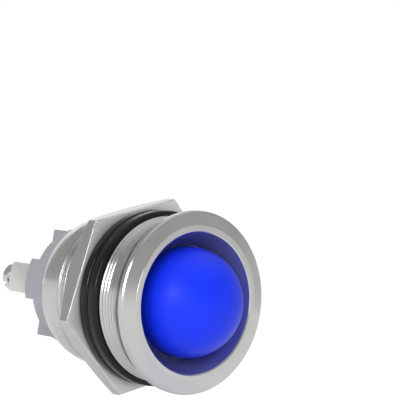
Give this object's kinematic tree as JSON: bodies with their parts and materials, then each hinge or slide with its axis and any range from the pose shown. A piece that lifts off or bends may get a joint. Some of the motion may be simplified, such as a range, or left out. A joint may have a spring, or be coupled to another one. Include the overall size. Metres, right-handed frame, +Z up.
{
  "type": "panel pilot light",
  "caption": "Round panel pilot light: domed lens in a plated bezel on a threaded barrel, with sealing rings, hexagon nut and screw terminals parted by a barrier.",
  "frame": {"origin": "on the lamp's axis in the panel plane, where the sealing rings end and the nut begins", "axes": "+Y along the axis to the rear, away from the lens; +Z up, along the terminal base's barrier wall; +X towards the right terminal as seen from the front"},
  "size_m": [0.0268, 0.0425, 0.0286],
  "materials": {
    "bezel_plating": "polished nickel plating on turned brass",
    "nut_plating": "nickel plating, satin",
    "terminal_plating": "tin plating on brass, satin",
    "screw_plating": "bright nickel plating on steel",
    "lens": "deep blue diffusing plastic, polished",
    "rubber": "black moulded rubber",
    "base_plastic": "blue-grey moulded plastic",
    "white_plastic": "white moulded plastic",
    "board": "green circuit board",
    "led": "water-clear moulded body",
    "resistor": "lacquered",
    "black_plastic": "moulded epoxy",
    "lead_black": "insulated wire",
    "lead_red": "insulated wire"
  },
  "bodies": {
    "lamp_body": {"bezel_body": "bezel_plating", "lens_dome": "lens", "lens_seal": "rubber", "reflector": "white_plastic", "led_board": "board", "led_top": "led", "led_left": "led", "led_right": "led", "series_resistor": "resistor", "bridge_rectifier": "black_plastic", "spacer_sleeve": "white_plastic", "lead_left": "lead_black", "lead_right": "lead_red", "base_seal": "rubber", "terminal_base": "base_plastic", "terminal_left": "terminal_plating", "terminal_right": "terminal_plating", "ring_front": "rubber", "ring_rear": "rubber"},
    "nut": {"hex_nut": "nut_plating"},
    "washers_left": {"washer_left": "screw_plating", "spring_washer_left": "screw_plating"},
    "washers_right": {"washer_right": "screw_plating", "spring_washer_right": "screw_plating"},
    "screw_left": {"screw_left": "screw_plating"},
    "screw_right": {"screw_right": "screw_plating"}
  },
  "joints": [
    {"name": "nut_travel", "type": "slide", "parent": "lamp_body", "child": "nut", "axis": [0, 1, 0], "range_m": [0, 0.0039]},
    {"name": "screw_travel_left", "type": "slide", "parent": "lamp_body", "child": "washers_left", "axis": [0, 1, 0], "range_m": [0, 0.00315]},
    {"name": "screw_travel_right", "type": "slide", "parent": "lamp_body", "child": "washers_right", "axis": [0, 1, 0], "range_m": [0, 0.00315]},
    {"name": "screw_turn_left", "type": "hinge", "parent": "washers_left", "child": "screw_left", "pos_m": [-0.0045, 0.021, 0], "axis": [0, 1, 0], "range_deg": [0, 2520]},
    {"name": "screw_turn_right", "type": "hinge", "parent": "washers_right", "child": "screw_right", "pos_m": [0.0045, 0.021, 0], "axis": [0, 1, 0], "range_deg": [0, 2520]}
  ],
  "couplings": [
    {"joint": "screw_turn_left", "follows": "screw_travel_left", "rad_per_m": 13963},
    {"joint": "screw_turn_right", "follows": "screw_travel_right", "rad_per_m": 13963}
  ]
}
